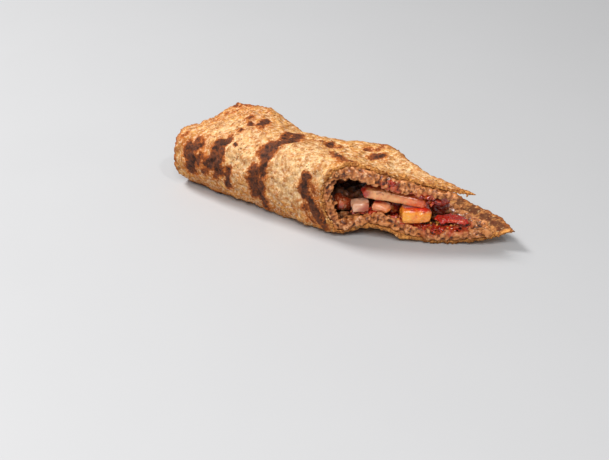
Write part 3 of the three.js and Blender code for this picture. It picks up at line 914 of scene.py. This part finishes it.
tomato_finish, sums = new_finish(
    "tomato_finish", Roughness=0.24, Coat_Weight=0.9, Coat_Roughness=0.06, Subsurface_Weight=0.22,
    Subsurface_Radius=(0.004, 0.0015, 0.0008), Subsurface_Scale=1.0,
)
own = sums.attribute("tone", "Color")
veins = sums.grain(2.6, 4, 0.6, seed=3)
tomato_tone = (veins.between(0.52, 0.7) * 0.45).blend(own, tone("d2401a"))
tomato_tone = (sums.grain(1.1, 3, seed=5).between(0.55, 0.7) * 0.35).blend(tomato_tone, tone("f8cfa0"))
tomato_tone = (sums.grain(3.4, 3, seed=12).between(0.6, 0.7) * 0.7).blend(tomato_tone, tone("8c170c"))
tomato_tone = sums.grain(0.9, 1, seed=15).between(0.78, 0.82).blend(tomato_tone, tone("2a120a"))
relief = sums.grain(0.9, 3, 0.6, seed=7) * 0.7 + sums.grain(2.6, 2, seed=8)
bump = sums.node("Bump", None, {"Strength": 0.7, "Distance": 0.45 * MM, "Height": relief})
feed(tomato_finish, Base_Color=tomato_tone, Normal=bump)

onion_finish, sums = new_finish(
    "onion_finish", Roughness=0.26, Coat_Weight=0.8, Coat_Roughness=0.07, Subsurface_Weight=0.3,
    Subsurface_Radius=(0.004, 0.003, 0.002), Subsurface_Scale=1.0,
)
own = sums.attribute("tone", "Color")
layers = sums.grain(2.0, 3, seed=4).between(0.4, 0.66)
onion_tone = (layers * 0.4).blend(own, tone("c98258"))
onion_tone = (sums.grain(3.0, 3, seed=9).between(0.58, 0.7) * 0.6).blend(onion_tone, tone("a8482c"))
relief = sums.grain(1.0, 3, seed=6)
bump = sums.node("Bump", None, {"Strength": 0.6, "Distance": 0.4 * MM, "Height": relief})
feed(onion_finish, Base_Color=onion_tone, Normal=bump)

ONION = "e4ad8c"
ONION_STAINED = "b4553a"
PULPED = ["tomato_hanging", "tomato_lower", "tomato_pulp", "tomato_skin"]  # soft, and torn, not cut
TORN = 2.2  # how much rougher those are


def add_filling(node, flesh, layers, finish, slot):
    """Shows one node's piece, with its layers of colour stored at its corners."""
    torn = TORN if node in PULPED else 1
    mesh = filling_mesh(node, 3 if node in PULPED else 2)
    roughen(mesh, (4, 0.4 * torn, 61), (1.8, 0.25 * torn, 62), (0.9, 0.12 * torn, 64))
    places = corner_places(mesh)
    tones = np.tile(tone(flesh), (len(places), 1))
    for code, side, depth in layers:
        reach = places @ np.array(Vector(side).normalized())
        edge = depth * (1 + 0.6 * clouds(places, 2.2, 63))
        share = np.clip(1.5 - (reach.max() - reach) / edge, 0, 1)[:, None]
        tones = tones * (1 - share) + np.array(tone(code)) * share
    mesh.color_attributes.new("tone", "FLOAT_COLOR", "POINT").data.foreach_set(
        "color", tones.astype(np.float32).ravel()
    )
    add_piece(node.replace("_deep", ""), mesh, finish, slot, node)


draw = random.Random(31)
for node in sorted(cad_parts):
    if not node.startswith(("tomato", "onion")):
        continue
    side = Vector((draw.uniform(-1, 1), draw.uniform(-1, 1), draw.uniform(-0.3, 1)))
    if node in LOOKS:
        add_filling(node, *LOOKS[node], tomato_finish, "tomato")
    elif node.startswith("tomato"):
        layers = [("e0702c", -side, 1.5), (SKIN, side, 0.9)]
        add_filling(node, draw.choice(FLESH), layers, tomato_finish, "tomato")
    else:
        add_filling(node, ONION, [(ONION_STAINED, side, 1.0)], onion_finish, "onion")


# The juice, a thin red pulp that ran out of the tomato between the pieces and onto the meat. Orange
# seeds lie on top.
PULPY = [
    # How many blobs, how far they spread, and the (around, along, height over the sheet) line
    (260, 1.5, [(0.67, 0.02, 4.0), (0.72, 0.02, 4.2), (0.77, 0.02, 3.9)]),
    (200, 1.6, [(0.79, 0.03, 3.8), (0.83, 0.03, 3.6), (0.86, 0.03, 3.3)]),
    (120, 1.4, [(0.6, 0.05, 4.6), (0.65, 0.04, 4.6)]),
    (60, 0.8, [(0.2, 0.0, 0.9), (0.225, 0.0, 1.1)]),
    (40, 0.7, [(0.12, 0.0, 3.6), (0.15, 0.0, 3.8)]),
    (120, 1.8, [(0.7, 0.09, 4.4), (0.8, 0.12, 4.0)]),
    (90, 1.3, [(0.065, 0.03, 4.6), (0.075, 0.06, 8.5)]),
    (60, 0.8, [(0.905, 0.01, 1.5), (0.93, 0.008, 1.0)]),
]


def along_line(line, spread, draw):
    """A random place near a line of (around, along, height) knots, in millimetres."""
    share = draw.uniform(0, len(line) - 1)
    knot = min(int(share), len(line) - 2)
    around, along, height = np.array(line[knot]) + (share - knot) * (
        np.array(line[knot + 1]) - np.array(line[knot])
    )
    around, along = np.array([around]), np.array([along])
    within = along + knife_line(around)
    place = sheet_point(around, within)[0] - sheet_normal(around, within)[0] * height
    return place + np.array([draw.gauss(0, spread), draw.gauss(0, spread), draw.gauss(0, 0.3)])


pulp_finish, sums = new_finish(
    "pulp_finish", Roughness=0.2, Coat_Weight=1.0, Coat_Roughness=0.05, Subsurface_Weight=0.3,
    Subsurface_Radius=(0.003, 0.001, 0.0005), Subsurface_Scale=1.0,
)
thick = sums.grain(2.2, 4, 0.6, seed=2)
pulp_tone = thick.between(0.4, 0.62).blend(tone("86120a"), tone("c23a18"))
pulp_tone = (sums.grain(1.4, 2, seed=6).between(0.6, 0.68) * 0.8).blend(pulp_tone, tone("ee8c3a"))
relief = thick + sums.grain(0.8, 2, seed=9) * 0.5
bump = sums.node("Bump", None, {"Strength": 0.6, "Distance": 0.4 * MM, "Height": relief})
feed(pulp_finish, Base_Color=pulp_tone, Normal=bump)

draw = random.Random(77)
blobs = np.array([
    along_line(line, spread, draw) for count, spread, line in PULPY for _ in range(count)
])
blob_radii = [draw.uniform(0.4, 0.95) for _ in blobs]
corners, faces = lumps_at(blobs, blob_radii, draw, flat=0.5, long=1.5)
corners += 0.4 * np.stack([clouds(corners, 1.2, seed) for seed in (73, 74, 75)], 1)
pulp_mesh = fused_mesh("pulp", [(corners, faces.tolist())], 0.34, 4)
roughen(pulp_mesh, (1.6, 0.25, 71))
add_piece("pulp", pulp_mesh, pulp_finish, "tomato")

seed_finish, sums = new_finish(
    "seed_finish", Roughness=0.25, Coat_Weight=0.9, Coat_Roughness=0.06, Subsurface_Weight=0.3,
    Subsurface_Radius=(0.002, 0.0012, 0.0005), Subsurface_Scale=1.0,
)
feed(seed_finish, Base_Color=sums.grain(1.5, 2).between(0.4, 0.6).blend(tone("f2a648"), tone("ea8430")))


def loose_bits(name, centres, radii, draw, finish, slot, flat=0.5, long=1.2, crooked=0.0):
    """Many small bits as one piece, each a ball of few faces, squashed, turned and made crooked."""
    corners, faces = lumps_at(centres, radii, draw, divisions=1, flat=flat, long=long)
    if crooked:
        corners += crooked * np.stack([clouds(corners, 0.7, seed) for seed in (81, 82, 83)], 1)
    corners[:, 2] = np.maximum(corners[:, 2], LOWEST)
    mesh = bpy.data.meshes.new(name)
    mesh.from_pydata([tuple(place) for place in (corners - MIDDLE) * MM], [], faces.tolist())
    add_piece(name, mesh, finish, slot)


SEEDY = [
    (9, 1.2, [(0.7, 0.02, 5.4), (0.74, 0.02, 5.4)]),
    (7, 1.5, [(0.8, 0.04, 4.8), (0.85, 0.03, 4.6)]),
]
seeds = [along_line(line, spread, draw) for count, spread, line in SEEDY for _ in range(count)]
loose_bits("seeds", seeds, [draw.uniform(0.7, 1.0) for _ in seeds], draw, seed_finish, "tomato")


# The crumbs, bits of bread and mince that the knife tore loose and that cling along the cut.
CRUMBS = 140
crumb_finish, sums = new_finish("crumb_finish", Roughness=0.8, Specular_IOR_Level=0.3)
shade = sums.grain(2.0, 3, seed=5)
crumb_tone = shade.between(0.36, 0.64).blend(tone("7e4019"), tone("e09a54"))
crumb_tone = (sums.grain(3.1, 2, seed=8).between(0.56, 0.64)).blend(crumb_tone, tone("f2cc96"))
feed(crumb_finish, Base_Color=crumb_tone)

draw = random.Random(8)
around = np.array([draw.uniform(0.02, 0.985) for _ in range(CRUMBS)])
along = np.array([abs(draw.gauss(0, 0.006)) for _ in range(CRUMBS)]) + knife_line(around)
height = np.array([draw.uniform(0.6, BREAD - 0.2) for _ in range(CRUMBS)])
centres = sheet_point(around, along) + sheet_normal(around, along) * height[:, None]
centres -= heading(ROLL_HEADING) * np.array([draw.uniform(-0.4, 0.7) for _ in range(CRUMBS)])[:, None]
radii = [0.25 + 0.7 * draw.random() ** 2 for _ in range(CRUMBS)]
loose_bits("crumbs", centres, radii, draw, crumb_finish, "bread", flat=0.35, long=1.4, crooked=0.3)
